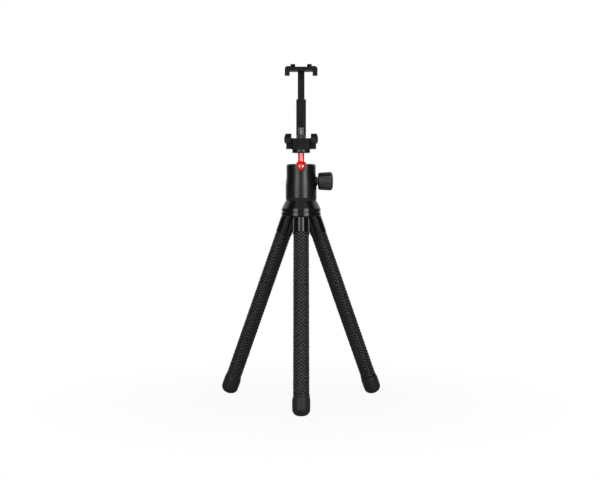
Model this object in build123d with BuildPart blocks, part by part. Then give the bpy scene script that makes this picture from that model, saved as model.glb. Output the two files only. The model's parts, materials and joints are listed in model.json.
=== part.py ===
from build123d import *
import math
import os

os.makedirs("parts", exist_ok=True)

# Driving sizes, in millimetres and degrees.
# Z is up, the feet stand on Z = 0 and the front leg points to -Y.

# Legs, measured along the leg from the crown's seat down to the sole
leg_azimuths = {"front": -90.0, "right": 30.0, "left": 150.0}
splay = 22.0
seat_radius = 15.1
skin_radius = 8.15
skin_bore = 5.35
core_radius = 5.3
fit_gap = 0.05
socket_length = 16.5
socket_wall = 0.55
socket_tuck = 6.0
socket_edge = 0.9
core_anchor = 6.0
root_run = 20.0
middle_run = 75.0
lower_run = 75.7
bend_gap = 0.3
bend_rim_share = 0.5

# Foot, with its rounded end and the flat that it stands on
foot_radius = 9.1
foot_length = 20.8
foot_round = 6.6
foot_neck_radius = 8.5
foot_neck = 5.5
foot_flat = 0.5
foot_bore_depth = 12.0
plug_radius = 5.9
plug_collar = 3.0

# Crown and its conical cover
crown_rise = 3.0
ring_radius = 21.0
ring_height = 4.4
groove_radius = 20.2
groove_height = 1.1
flange_radius = 20.9
flange_height = 1.8
ring_edge = 0.5
boss_radius = 8.2
boss_root = 7.0
cover_base_radius = 20.6
cover_top_radius = 16.6
cover_height = 8.8
cover_lip = 0.7
bolt_radius = 3.17
bolt_head_radius = 4.8
bolt_head_height = 4.6
bolt_hex = 4.0
bolt_hex_depth = 2.6
bolt_seat_depth = 4.2
bolt_reach = 12.0

# Barrel of the ball head
base_gap = 0.4
barrel_low_radius = 16.4
barrel_foot_radius = 15.8
barrel_foot_taper = 3.0
barrel_low_height = 14.5
barrel_step = 13.0
barrel_radius = 15.5
barrel_height = 38.4
barrel_edge = 2.0
mouth_radius = 7.0
mouth_rim_radius = 10.6
ball_radius = 8.0
ball_depth = 4.5
slot_gap = 0.3
plug_height = 8.0

# Brake cup under the ball
cup_side = 4.0
cup_floor = 2.0
cup_travel = 0.5
cup_gap = 0.15

# Ball's stem, its platform and the stud
stem_radius = 3.4
stem_length = 16.1
platform_radius = 9.5
platform_height = 3.5
platform_edge = 0.9
stud_radius = 3.175
stud_height = 23.2
stud_root = 2.4
stud_chamfer = 0.9
stud_groove_radius = 2.8
stud_groove_sink = 0.4
stud_groove_rise = 0.3

# Lock knob and its screw
knob_radius = 9.8
knob_length = 15.9
knob_crown = 1.4
knob_boss_radius = 4.9
knob_boss = 0.8
knob_neck_radius = 4.5
knob_neck = 0.35
knob_gap = 0.3
knob_inner_radius = 9.2
knob_flutes = 8
flute_radius = 5.0
flute_bite = 0.6
screw_radius = 3.0
screw_tip = 4.0
screw_tip_radius = 1.2

# Clamp foot with the lower jaw
block_width = 18.9
block_height = 11.6
block_front = 9.3
block_edge = 1.2
stud_boss_radius = 5.3
stud_boss_top = 3.7
stud_boss_height = 4.2
slot_front = 4.2
slot_depth = 9.8
arm_gap = 0.9
arm_width = 5.5
arm_lift = 1.0
arm_height = 11.6
web_depth = 6.0
arm_lip = 3.4
grip_wall = 2.1
grip_skirt = 5.8
grip_lip_height = 2.7
grip_floor = 1.8
grip_edge = 0.7
grip_taper = 0.8
grip_bulge_share = 0.45

# Sliding spine: a sleeve on the lower jaw and a bar on the upper jaw
sleeve_width = 10.4
sleeve_depth = 6.2
sleeve_wall = 1.3
sleeve_floor = 3.0
slide_gap = 0.3
bar_hold = 7.0
spring_least = 11.0
spring_radius = 1.4
spring_bore = 0.8

# Upper jaw with its accessory shoe
phone_height = 67.8
jaw_drop = 12.0
jaw_raise = 20.0
bar_width = 34.6
bar_height = 3.6
shoulder_rise = 1.2
jaw_edge = 3.2
hook_width = 5.2
hook_lip = 3.2
hook_reach = 4.2
pad_thickness = 1.2
pad_inset = 0.3
shoe_width = 22.4
shoe_slot_width = 18.6
shoe_slot_height = 2.1
shoe_mouth = 12.6
shoe_lip = 1.2
shoe_length = 18.0
shoe_stop = 1.6

# Small screws on the back of the clamp
screw_head_radius = 1.9
screw_head_height = 1.0
screw_shank_radius = 1.0
screw_shank_sink = 1.6
screw_slot_width = 0.6
screw_slot_depth = 0.5
screw_pitch = 7.0

# One overrun serves all cuts.
overrun = 2.0

# Places that follow from the sizes above
tilt = math.radians(splay)
socket_radius = skin_radius + fit_gap + socket_wall
upper_bend = socket_length + root_run
lower_bend = upper_bend + middle_run
foot_top = lower_bend + lower_run
leg_length = foot_top + foot_length
sole_inset = foot_radius - foot_round
end_height = foot_round * (1 - math.cos(tilt)) + sole_inset * math.sin(tilt) - foot_flat
seat_z = end_height + leg_length * math.cos(tilt)
end_radius = seat_radius + leg_length * math.sin(tilt)
bend_rim = skin_radius * bend_rim_share
cup_radius = skin_radius + bend_gap


def foot_reach(toward):
    """How far a foot reaches from the tripod's axis, for a cosine of the angle to its leg."""
    lean = math.sin(tilt) * toward
    ring = sole_inset * math.sqrt(1 - lean * lean)
    return (end_radius - foot_round * math.sin(tilt)) * toward + ring + foot_round


rear_lean = math.sin(math.radians(leg_azimuths["right"]))
axis_y = (foot_reach(1) - foot_reach(rear_lean)) / 2

crown_z = seat_z + crown_rise
groove_z = crown_z + ring_height
flange_z = groove_z + groove_height
cover_z = flange_z + flange_height
cover_top_z = cover_z + cover_height
barrel_z = cover_top_z + base_gap
barrel_top_z = barrel_z + barrel_height
ball_z = barrel_top_z - ball_depth
cup_bottom_z = ball_z - ball_radius - fit_gap - cup_floor
knob_z = cup_bottom_z - cup_travel - cup_gap - screw_radius
platform_z = ball_z + stem_length
block_z = platform_z + platform_height
block_top_z = block_z + block_height
boss_top_z = block_top_z + stud_boss_height
slot_back = slot_front + slot_depth
spine_back = slot_back + sleeve_depth
arm_inner = block_width / 2 + arm_gap
arm_outer = arm_inner + arm_width
arm_z = block_z + arm_lift
arm_top_z = arm_z + arm_height
phone_z = arm_top_z + grip_floor
phone_top_z = phone_z + phone_height
jaw_z = phone_top_z + pad_thickness
jaw_top_z = jaw_z + bar_height
bar_overlap = jaw_raise + bar_hold
sleeve_height = sleeve_floor + spring_least + jaw_drop + bar_overlap
sleeve_z = block_z + arm_lift
sleeve_top_z = sleeve_z + sleeve_height
bar_z = sleeve_top_z - bar_overlap
bar_half = sleeve_width / 2 - sleeve_wall - slide_gap
bar_front = slot_back + sleeve_wall + slide_gap
bar_back = spine_back - sleeve_wall - slide_gap
bar_middle = (bar_front + bar_back) / 2
foot_screw_z = (arm_z + arm_top_z) / 2
jaw_screw_z = (jaw_z + jaw_top_z) / 2


def level(height):
    """A horizontal plane through the tripod's axis."""
    return Plane((0, axis_y, height))


def finish(build, label):
    """Names a finished piece and writes it."""
    build.part.label = label
    export_step(build.part, f"parts/{label}.step")


def back_plane(height):
    """The clamp's back face, at that height, looking out of it."""
    return Plane((0, axis_y + spine_back, height), x_dir=(-1, 0, 0), z_dir=(0, 1, 0))


def back_pins(height, radius, depth):
    """Two round shanks that run into the clamp's back, for its small screws or their holes."""
    with BuildPart() as pins:
        with BuildSketch(back_plane(height)):
            with Locations((-screw_pitch, 0), (screw_pitch, 0)):
                Circle(radius)
        extrude(amount=-depth)
    return pins.part


foot_holes = back_pins(foot_screw_z, screw_shank_radius + fit_gap, screw_shank_sink + fit_gap)
jaw_holes = back_pins(jaw_screw_z, screw_shank_radius + fit_gap, screw_shank_sink + fit_gap)


def leg_plane(azimuth):
    """A leg's own section: x points outward across the leg and y runs up along it, from its seat."""
    turn = math.radians(azimuth)
    outward = Vector(math.cos(turn), math.sin(turn), 0)
    up = Vector(0, 0, 1)
    across = outward * math.cos(tilt) + up * math.sin(tilt)
    along = up * math.cos(tilt) - outward * math.sin(tilt)
    seat = outward * seat_radius + Vector(0, axis_y, seat_z)
    return Plane(origin=seat, x_dir=across, z_dir=across.cross(along))


def leg_axis(azimuth):
    """The line that a leg's round pieces turn about."""
    plane = leg_plane(azimuth)
    return Axis(plane.origin, plane.y_dir)


def dome(middle, radius, inner, outer):
    """Three points of a round end about a bend, from its inner to its outer radius."""
    start = math.acos(inner / radius)
    stop = math.acos(min(outer / radius, 1))
    angles = (start, (start + stop) / 2, stop)
    return [(radius * math.cos(a), middle + radius * math.sin(a)) for a in angles]


def leg_piece(azimuth, inner, outer, top, bottom, top_bend, bottom_bend, label, rim=False):
    """A round piece of a leg, with a domed end at a bend above it and a cupped end at one below."""
    with BuildPart() as piece:
        with BuildSketch(leg_plane(azimuth)):
            with BuildLine():
                if top_bend:
                    high = dome(-top, skin_radius, inner, outer)
                    ThreePointArc(*high)
                else:
                    high = [(inner, -top), (outer, -top)]
                    Line(*high)
                if bottom_bend:
                    reach = math.sqrt(cup_radius**2 - bend_rim**2) if rim else outer
                    low = dome(-bottom, cup_radius, inner, reach)
                    ThreePointArc(*low)
                else:
                    low = [(inner, -bottom), (outer, -bottom)]
                    Line(*low)
                if rim and bottom_bend:
                    edge = (outer, low[-1][1])
                    Line(low[-1], edge)
                    Line(edge, high[-1])
                else:
                    Line(low[-1], high[-1])
                Line(low[0], high[0])
            make_face()
        revolve(axis=leg_axis(azimuth))
    finish(piece, label)


def make_socket(azimuth, label):
    """The glossy sleeve that holds a leg's top end against the crown."""
    core_hole = core_radius + fit_gap
    skin_hole = skin_radius + fit_gap
    shelf = socket_length - socket_tuck
    with BuildPart() as socket:
        with BuildSketch(leg_plane(azimuth)) as profile:
            with BuildLine():
                Polyline(
                    (core_hole, 0),
                    (socket_radius, 0),
                    (socket_radius, -socket_length),
                    (skin_hole, -socket_length),
                    (skin_hole, -shelf),
                    (core_hole, -shelf),
                    close=True,
                )
            make_face()
            fillet(profile.vertices().sort_by(Axis.Y)[-2:].sort_by(Axis.X)[-1], socket_edge)
        revolve(axis=leg_axis(azimuth))
    finish(socket, label)


def make_foot(azimuth, label):
    """The rubber boot on a leg's end, with a rounded sole that is flat where it stands."""
    end = -leg_length
    top = -foot_top
    mid = math.sqrt(0.5)
    with BuildPart() as foot:
        with BuildSketch(leg_plane(azimuth)):
            with BuildLine():
                Line((0, end), (sole_inset, end))
                ThreePointArc(
                    (sole_inset, end),
                    (sole_inset + foot_round * mid, end + foot_round * (1 - mid)),
                    (foot_radius, end + foot_round),
                )
                Polyline(
                    (foot_radius, end + foot_round),
                    (foot_radius, top - foot_neck),
                    (foot_neck_radius, top),
                    (plug_radius + fit_gap, top),
                    (plug_radius + fit_gap, top - foot_bore_depth),
                    (0, top - foot_bore_depth),
                    (0, end),
                )
            make_face()
        revolve(axis=leg_axis(azimuth))
        split(bisect_by=Plane.XY, keep=Keep.TOP)
    finish(foot, label)


def make_plug(azimuth, label):
    """The hard plug on the end of a leg's core, which the foot is pressed over."""
    top = -foot_top
    tip = top - foot_bore_depth + fit_gap
    hole = core_radius + fit_gap
    floor = top - foot_bore_depth + plug_collar
    with BuildPart() as plug:
        with BuildSketch(leg_plane(azimuth)):
            with BuildLine():
                Polyline(
                    (0, tip),
                    (plug_radius, tip),
                    (plug_radius, top - fit_gap),
                    (hole, top - fit_gap),
                    (hole, floor),
                    (0, floor),
                    close=True,
                )
            make_face()
        revolve(axis=leg_axis(azimuth))
    finish(plug, label)


def make_leg(side, azimuth):
    """All the pieces of one leg, from its socket to its foot."""
    skin_top = socket_length - socket_tuck + fit_gap
    core_end = foot_top + foot_bore_depth - plug_collar - fit_gap
    make_socket(azimuth, f"{side}_socket")
    leg_piece(azimuth, skin_bore, skin_radius, skin_top, upper_bend, False, True, f"{side}_skin_root", True)
    label = f"{side}_skin_middle"
    leg_piece(azimuth, skin_bore, skin_radius, upper_bend, lower_bend, True, True, label, True)
    leg_piece(azimuth, skin_bore, skin_radius, lower_bend, foot_top, True, False, f"{side}_skin_lower")
    leg_piece(azimuth, 0, core_radius, -core_anchor, upper_bend, False, True, f"{side}_core_root")
    leg_piece(azimuth, 0, core_radius, upper_bend, lower_bend, True, True, f"{side}_core_middle")
    leg_piece(azimuth, 0, core_radius, lower_bend, core_end, True, False, f"{side}_core_lower")
    make_plug(azimuth, f"{side}_end_plug")
    make_foot(azimuth, f"{side}_foot")


for side_name, side_azimuth in leg_azimuths.items():
    make_leg(side_name, side_azimuth)


def leg_section(azimuth, along):
    """A plane across a leg, that far above its seat, facing up the leg."""
    plane = leg_plane(azimuth)
    return Plane(origin=plane.from_local_coords(Vector(0, along, 0)), z_dir=plane.y_dir)


# Crown: a ringed hub with three slanted bosses that the legs' cores are set in
with BuildPart() as ring:
    with BuildSketch(level(crown_z)):
        Circle(ring_radius)
    extrude(amount=ring_height)
    chamfer(ring.edges().filter_by(GeomType.CIRCLE), ring_edge)

with BuildPart() as crown:
    for hub_azimuth in leg_azimuths.values():
        with BuildSketch(leg_section(hub_azimuth, 0)):
            Circle(boss_radius)
        extrude(amount=boss_root)
    with BuildSketch(level(crown_z)):
        Circle(ring_radius + boss_root)
        Circle(groove_radius - ring_edge, mode=Mode.SUBTRACT)
    extrude(amount=boss_radius, mode=Mode.SUBTRACT)
    add(ring)
    with BuildSketch(level(groove_z)):
        Circle(groove_radius)
    extrude(amount=groove_height)
    with BuildSketch(level(flange_z)):
        Circle(flange_radius)
    extrude(amount=flange_height)
    for hub_azimuth in leg_azimuths.values():
        with BuildSketch(leg_section(hub_azimuth, 0)):
            Circle(core_radius + fit_gap)
        extrude(amount=core_anchor + fit_gap, mode=Mode.SUBTRACT)
    with BuildSketch(level(crown_z)):
        Circle(bolt_radius + fit_gap)
    extrude(amount=cover_z - crown_z, mode=Mode.SUBTRACT)
    with BuildSketch(level(crown_z + bolt_seat_depth)):
        Circle(bolt_head_radius + fit_gap)
    extrude(amount=-(bolt_seat_depth + boss_radius), mode=Mode.SUBTRACT)
finish(crown, "crown")

# Crown cover: the cone between the crown and the ball head
with BuildPart() as crown_cover:
    with BuildSketch(Plane((0, axis_y, 0), x_dir=(1, 0, 0), z_dir=(0, -1, 0))):
        with BuildLine():
            Polyline(
                (bolt_radius + fit_gap, cover_z),
                (cover_base_radius, cover_z),
                (cover_base_radius, cover_z + cover_lip),
                (cover_top_radius, cover_top_z),
                (bolt_radius + fit_gap, cover_top_z),
                close=True,
            )
        make_face()
    revolve(axis=Axis((0, axis_y, 0), (0, 0, 1)))
finish(crown_cover, "crown_cover")

# Head bolt: it comes up through the crown and holds the ball head
with BuildPart() as head_bolt:
    bolt_seat_z = crown_z + bolt_seat_depth
    bolt_top_z = barrel_z + bolt_reach - base_gap
    with BuildSketch(level(bolt_seat_z)):
        Circle(bolt_head_radius)
    extrude(amount=-bolt_head_height)
    with BuildSketch(level(bolt_seat_z)):
        Circle(bolt_radius)
    extrude(amount=bolt_top_z - bolt_seat_z)
    with BuildSketch(level(bolt_seat_z - bolt_head_height)):
        RegularPolygon(bolt_hex / 2, 6, major_radius=False)
    extrude(amount=bolt_hex_depth, mode=Mode.SUBTRACT)
finish(head_bolt, "head_bolt")

# Barrel: the ball head's turned housing, with its mouth, drop slot and knob boss
with BuildPart() as barrel:
    step_z = barrel_z + barrel_low_height
    mouth_seat = math.sqrt((ball_radius + fit_gap) ** 2 - mouth_radius**2)
    seat_turn = math.acos(mouth_radius / (ball_radius + fit_gap)) / 2
    bore = ball_radius + fit_gap
    with BuildSketch(Plane((0, axis_y, 0), x_dir=(1, 0, 0), z_dir=(0, -1, 0))):
        with BuildLine():
            Polyline(
                (bore, ball_z),
                (bore, barrel_z),
                (barrel_foot_radius, barrel_z),
                (barrel_low_radius, barrel_z + barrel_foot_taper),
                (barrel_low_radius, step_z),
            )
            Spline(
                (barrel_low_radius, step_z),
                (barrel_radius, step_z + barrel_step),
                tangents=((0, 1), (0, 1)),
            )
            Line((barrel_radius, step_z + barrel_step), (barrel_radius, barrel_top_z - barrel_edge))
            Spline(
                (barrel_radius, barrel_top_z - barrel_edge),
                (mouth_rim_radius, barrel_top_z),
                tangents=((0, 1), (-1, 0)),
            )
            Polyline(
                (mouth_rim_radius, barrel_top_z),
                (mouth_radius, barrel_top_z),
                (mouth_radius, ball_z + mouth_seat),
            )
            ThreePointArc(
                (mouth_radius, ball_z + mouth_seat),
                (bore * math.cos(seat_turn), ball_z + bore * math.sin(seat_turn)),
                (bore, ball_z),
            )
        make_face()
    revolve(axis=Axis((0, axis_y, 0), (0, 0, 1)))
    with BuildSketch(Plane((bore + overrun, axis_y, knob_z), z_dir=(1, 0, 0))):
        Circle(knob_boss_radius)
    extrude(amount=barrel_low_radius + knob_boss - bore - overrun)
    with BuildSketch(Plane((0, axis_y, knob_z), z_dir=(1, 0, 0))):
        Circle(screw_radius + fit_gap)
    extrude(amount=barrel_low_radius + knob_boss + overrun, mode=Mode.SUBTRACT)
    slot_half = stem_radius + slot_gap
    slot_mouth = slot_half + ball_depth
    flare_z = ball_depth * math.sqrt(0.5)
    flare_x = slot_mouth - flare_z
    with BuildSketch(Plane((0, axis_y, ball_z), x_dir=(1, 0, 0), z_dir=(0, -1, 0))):
        with BuildLine():
            ThreePointArc((-slot_half, 0), (0, -slot_half), (slot_half, 0))
            ThreePointArc((slot_half, 0), (flare_x, flare_z), (slot_mouth, ball_depth))
            Polyline(
                (slot_mouth, ball_depth),
                (slot_mouth, ball_depth + overrun),
                (-slot_mouth, ball_depth + overrun),
                (-slot_mouth, ball_depth),
            )
            ThreePointArc((-slot_mouth, ball_depth), (-flare_x, flare_z), (-slot_half, 0))
        make_face()
    extrude(amount=barrel_low_radius + overrun, mode=Mode.SUBTRACT)
finish(barrel, "barrel")

# Barrel plug: it closes the barrel from below and takes the head bolt
with BuildPart() as barrel_plug:
    with BuildSketch(level(barrel_z)):
        Circle(ball_radius)
        Circle(bolt_radius + fit_gap, mode=Mode.SUBTRACT)
    extrude(amount=plug_height)
finish(barrel_plug, "barrel_plug")

# Brake cup: the knob's screw presses it up against the ball
with BuildPart() as brake_cup:
    with BuildSketch(level(cup_bottom_z)):
        Circle(ball_radius)
    extrude(amount=ball_z - cup_side - cup_bottom_z)
    with BuildSketch(Plane((0, axis_y, ball_z), x_dir=(1, 0, 0), z_dir=(0, -1, 0))):
        Circle(ball_radius + fit_gap)
        with Locations((-(ball_radius + overrun) / 2, 0)):
            Rectangle(ball_radius + overrun, 2 * (ball_radius + overrun), mode=Mode.SUBTRACT)
    revolve(axis=Axis((0, axis_y, 0), (0, 0, 1)), mode=Mode.SUBTRACT)
finish(brake_cup, "brake_cup")

# Ball and stem, one turned piece
with BuildPart() as ball_stem:
    neck = math.sqrt(ball_radius**2 - stem_radius**2)
    with BuildSketch(Plane((0, axis_y, ball_z), x_dir=(1, 0, 0), z_dir=(0, -1, 0))):
        with BuildLine():
            ThreePointArc((0, -ball_radius), (ball_radius, 0), (stem_radius, neck))
            Polyline(
                (stem_radius, neck),
                (stem_radius, stem_length),
                (0, stem_length),
                (0, -ball_radius),
            )
        make_face()
    revolve(axis=Axis((0, axis_y, 0), (0, 0, 1)))
    with BuildSketch(level(platform_z - stud_root)):
        Circle(stud_radius / 2)
    extrude(amount=stud_root, mode=Mode.SUBTRACT)
finish(ball_stem, "ball_stem")

# Platform: the round plate on the stem that the clamp sits on
with BuildPart() as platform:
    with BuildSketch(level(platform_z)):
        Circle(platform_radius)
        Circle(stud_radius + fit_gap, mode=Mode.SUBTRACT)
    extrude(amount=platform_height)
    rim_edges = platform.edges().filter_by(GeomType.CIRCLE).sort_by(SortBy.RADIUS)[-2:]
    fillet(rim_edges.sort_by(Axis.Z)[0], platform_edge)
finish(platform, "platform")

# Stud: the threaded post that the clamp screws down on
with BuildPart() as stud:
    with BuildSketch(level(platform_z)):
        Circle(stud_radius)
    extrude(amount=stud_height + platform_height)
    chamfer(stud.edges().filter_by(GeomType.CIRCLE).sort_by(Axis.Z)[-1], stud_chamfer)
    with BuildSketch(level(boss_top_z - stud_groove_sink)):
        Circle(stud_radius)
        Circle(stud_groove_radius, mode=Mode.SUBTRACT)
    extrude(amount=stud_groove_sink + stud_groove_rise, mode=Mode.SUBTRACT)
    with BuildSketch(level(platform_z)):
        Circle(stud_radius / 2 - fit_gap)
    extrude(amount=-(stud_root - fit_gap))
finish(stud, "stud")

# Lock knob: a fluted grip with a slightly domed end
with BuildPart() as lock_knob:
    boss_end = barrel_low_radius + knob_boss
    knob_x = boss_end + knob_gap + knob_neck
    knob_end = knob_x + knob_length
    with BuildSketch(Plane((0, axis_y, knob_z))):
        with BuildLine():
            Polyline(
                (knob_end, 0),
                (knob_x - knob_neck, 0),
                (knob_x - knob_neck, knob_neck_radius),
                (knob_x, knob_neck_radius),
                (knob_x, knob_inner_radius - knob_crown),
                (knob_x + knob_crown, knob_inner_radius),
                (knob_end - 2 * knob_crown, knob_radius),
                (knob_end - knob_crown, knob_radius - knob_crown / 2),
            )
            Spline(
                (knob_end - knob_crown, knob_radius - knob_crown / 2),
                (knob_end, 0),
                tangents=((1, -1), (0, -1)),
            )
        make_face()
    revolve(axis=Axis((0, axis_y, knob_z), (1, 0, 0)))
    with BuildSketch(Plane((knob_x, axis_y, knob_z), z_dir=(1, 0, 0))):
        with PolarLocations(knob_radius + flute_radius - flute_bite, knob_flutes, 180 / knob_flutes):
            Circle(flute_radius)
    extrude(amount=knob_length, mode=Mode.SUBTRACT)
    with BuildSketch(Plane((knob_x - knob_neck, axis_y, knob_z), z_dir=(1, 0, 0))):
        Circle(screw_radius + fit_gap)
    extrude(amount=knob_length / 2, mode=Mode.SUBTRACT)
finish(lock_knob, "lock_knob")

# Knob screw: it runs through the barrel's wall to the cup, with a coned tip
with BuildPart() as knob_screw:
    tip_x = -screw_radius
    with BuildSketch(Plane((0, axis_y, knob_z))):
        with BuildLine():
            Polyline(
                (tip_x, 0),
                (tip_x, screw_tip_radius),
                (tip_x + screw_tip, screw_radius),
                (knob_x - knob_neck + knob_length / 2 - fit_gap, screw_radius),
                (knob_x - knob_neck + knob_length / 2 - fit_gap, 0),
                close=True,
            )
        make_face()
    revolve(axis=Axis((0, axis_y, knob_z), (1, 0, 0)))
finish(knob_screw, "knob_screw")

# Clamp foot: the block that screws onto the stud, with the lower jaw's two arms
with BuildPart() as clamp_foot:
    block_depth = spine_back + block_front
    block_middle = (spine_back - block_front) / 2
    web_front = slot_back - web_depth / 2
    web_back = spine_back
    with BuildSketch(level(block_z)):
        with Locations((0, block_middle)):
            Rectangle(block_width, block_depth)
    extrude(amount=block_height)
    chamfer(clamp_foot.edges().filter_by(Axis.Z), block_edge)
    with BuildSketch(level(arm_z)):
        with Locations((0, (web_front + web_back) / 2)):
            Rectangle(2 * arm_outer, web_back - web_front)
        with Locations(
            ((arm_inner + arm_outer) / 2, (slot_front - arm_lip + web_front) / 2),
            (-(arm_inner + arm_outer) / 2, (slot_front - arm_lip + web_front) / 2),
        ):
            Rectangle(arm_width, web_front - slot_front + arm_lip)
    extrude(amount=arm_height)
    with BuildSketch(level(block_top_z)):
        Circle(stud_boss_radius)
    with BuildSketch(level(boss_top_z)):
        Circle(stud_boss_top)
    loft()
    with BuildSketch(level(block_z)):
        Circle(stud_radius + fit_gap)
    extrude(amount=block_height + stud_boss_height, mode=Mode.SUBTRACT)
    with BuildSketch(level(sleeve_z)):
        with Locations((0, (slot_back + spine_back) / 2)):
            Rectangle(sleeve_width + 2 * fit_gap, sleeve_depth + 2 * fit_gap)
    extrude(amount=sleeve_height, mode=Mode.SUBTRACT)
    add(foot_holes, mode=Mode.SUBTRACT)
finish(clamp_foot, "clamp_foot")


def make_grip(side, label):
    """A rubber boot over the tip of a lower arm, with the lip that holds the phone's edge."""
    front = slot_front - arm_lip
    inner = arm_inner - fit_gap
    outer = arm_outer + grip_wall
    back = slot_back
    low = arm_top_z - grip_skirt
    high = phone_z + grip_lip_height
    with BuildPart() as grip:
        with BuildSketch(Plane((0, axis_y, 0), x_dir=(0, 1, 0), z_dir=(1, 0, 0)).offset(side * inner)):
            with BuildLine():
                Polyline(
                    (front - grip_wall, low),
                    (back, low),
                    (back, phone_z),
                    (slot_front, phone_z),
                    (slot_front, high),
                    (slot_front - arm_lip / 2, high),
                    (front - grip_wall, arm_top_z),
                    close=True,
                )
            make_face()
        extrude(amount=side * (outer - inner))
        with BuildSketch(Plane((0, axis_y + back, 0), x_dir=(1, 0, 0), z_dir=(0, -1, 0))):
            with BuildLine():
                Line((side * inner, low), (side * (outer - grip_taper), low))
                ThreePointArc(
                    (side * (outer - grip_taper), low),
                    (side * outer, low + (high - low) * grip_bulge_share),
                    (side * (outer - 2 * grip_taper), high),
                )
                Polyline(
                    (side * (outer - 2 * grip_taper), high),
                    (side * inner, high),
                    (side * inner, low),
                )
            make_face()
        extrude(amount=back - front + grip_wall, mode=Mode.INTERSECT)
        fillet(grip.faces().sort_by(Axis.X)[-1 if side > 0 else 0].edges(), grip_edge)
        with BuildSketch(level(arm_z)):
            with Locations((side * (arm_inner + arm_outer) / 2, (front + back) / 2)):
                Rectangle(arm_width + 2 * fit_gap, back - front + 2 * fit_gap)
        extrude(amount=arm_height + fit_gap, mode=Mode.SUBTRACT)
    finish(grip, label)


make_grip(-1, "left_grip")
make_grip(1, "right_grip")

# Spine sleeve: the square tube that the upper jaw's bar slides in
with BuildPart() as spine_sleeve:
    with BuildSketch(level(sleeve_z)):
        with Locations((0, (slot_back + spine_back) / 2)):
            Rectangle(sleeve_width, sleeve_depth)
    extrude(amount=sleeve_height)
    with BuildSketch(level(sleeve_z + sleeve_floor)):
        with Locations((0, (slot_back + spine_back) / 2)):
            Rectangle(sleeve_width - 2 * sleeve_wall, sleeve_depth - 2 * sleeve_wall)
    extrude(amount=sleeve_height, mode=Mode.SUBTRACT)
finish(spine_sleeve, "spine_sleeve")

# Slide bar: it hangs from the upper jaw into the sleeve
with BuildPart() as slide_bar:
    with BuildSketch(level(bar_z)):
        with Locations((0, bar_middle)):
            Rectangle(2 * bar_half, bar_back - bar_front)
    extrude(amount=jaw_z - bar_z)
finish(slide_bar, "slide_bar")

# Pull spring: the closed coil's envelope, from the sleeve's floor to the bar's end
with BuildPart() as pull_spring:
    spring_z = sleeve_z + sleeve_floor + fit_gap
    with BuildSketch(level(spring_z)):
        with Locations((0, bar_middle)):
            Circle(spring_radius)
            Circle(spring_bore, mode=Mode.SUBTRACT)
    extrude(amount=bar_z - fit_gap - spring_z)
finish(pull_spring, "pull_spring")

# Upper jaw: the bar with its two hooks and the accessory shoe on top
with BuildPart() as upper_jaw:
    jaw_front = slot_front - hook_lip
    jaw_middle = (jaw_front + spine_back) / 2
    with BuildSketch(Plane((0, axis_y + jaw_front, jaw_z), x_dir=(1, 0, 0), z_dir=(0, -1, 0))) as jaw_face:
        with Locations((0, (bar_height + shoulder_rise) / 2)):
            Rectangle(bar_width, bar_height + shoulder_rise)
        fillet(jaw_face.vertices().group_by(Axis.Y)[-1], jaw_edge)
        with Locations((0, bar_height + shoulder_rise / 2)):
            Rectangle(shoe_slot_width, shoulder_rise, mode=Mode.SUBTRACT)
    extrude(amount=-(spine_back - jaw_front))
    with BuildSketch(level(jaw_z)):
        with Locations(
            ((bar_width - hook_width) / 2, (jaw_front + slot_front) / 2),
            (-(bar_width - hook_width) / 2, (jaw_front + slot_front) / 2),
        ):
            Rectangle(hook_width, hook_lip)
    extrude(amount=-(pad_thickness + hook_reach))
    with BuildSketch(level(jaw_top_z)):
        with Locations((0, jaw_middle)):
            Rectangle(shoe_width, shoe_length)
            Rectangle(shoe_slot_width, shoe_length, mode=Mode.SUBTRACT)
        with Locations((0, jaw_middle + (shoe_length - shoe_stop) / 2)):
            Rectangle(shoe_width, shoe_stop)
    extrude(amount=shoe_slot_height)
    with BuildSketch(level(jaw_top_z + shoe_slot_height)):
        with Locations((0, jaw_middle)):
            Rectangle(shoe_width, shoe_length)
            Rectangle(shoe_mouth, shoe_length, mode=Mode.SUBTRACT)
    extrude(amount=shoe_lip)
    add(jaw_holes, mode=Mode.SUBTRACT)
finish(upper_jaw, "upper_jaw")


def make_pad(side, label):
    """A rubber pad under an end of the upper jaw, where it meets the phone's edge."""
    with BuildPart() as pad:
        with BuildSketch(level(jaw_z)):
            with Locations((side * (bar_width - hook_width) / 2, (slot_front + slot_back) / 2)):
                Rectangle(hook_width - 2 * pad_inset, slot_depth - 2 * pad_inset)
        extrude(amount=-pad_thickness)
        chamfer(pad.faces().sort_by(Axis.Z)[0].edges(), pad_inset)
    finish(pad, label)


make_pad(-1, "left_pad")
make_pad(1, "right_pad")


def make_screws(height, label):
    """Two small slotted screws side by side in the clamp's back."""
    with BuildPart() as screws:
        with BuildSketch(back_plane(height)):
            with Locations((-screw_pitch, 0), (screw_pitch, 0)):
                Circle(screw_head_radius)
        extrude(amount=screw_head_height)
        add(back_pins(height, screw_shank_radius, screw_shank_sink))
        with BuildSketch(back_plane(height).offset(screw_head_height)):
            with Locations((-screw_pitch, 0), (screw_pitch, 0)):
                Rectangle(2 * screw_head_radius, screw_slot_width)
        extrude(amount=-screw_slot_depth, mode=Mode.SUBTRACT)
    finish(screws, label)


make_screws(foot_screw_z, "foot_screws")
make_screws(jaw_screw_z, "jaw_screws")
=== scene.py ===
import json
import math

import bmesh
import bpy
from mathutils import Matrix, Vector


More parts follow.
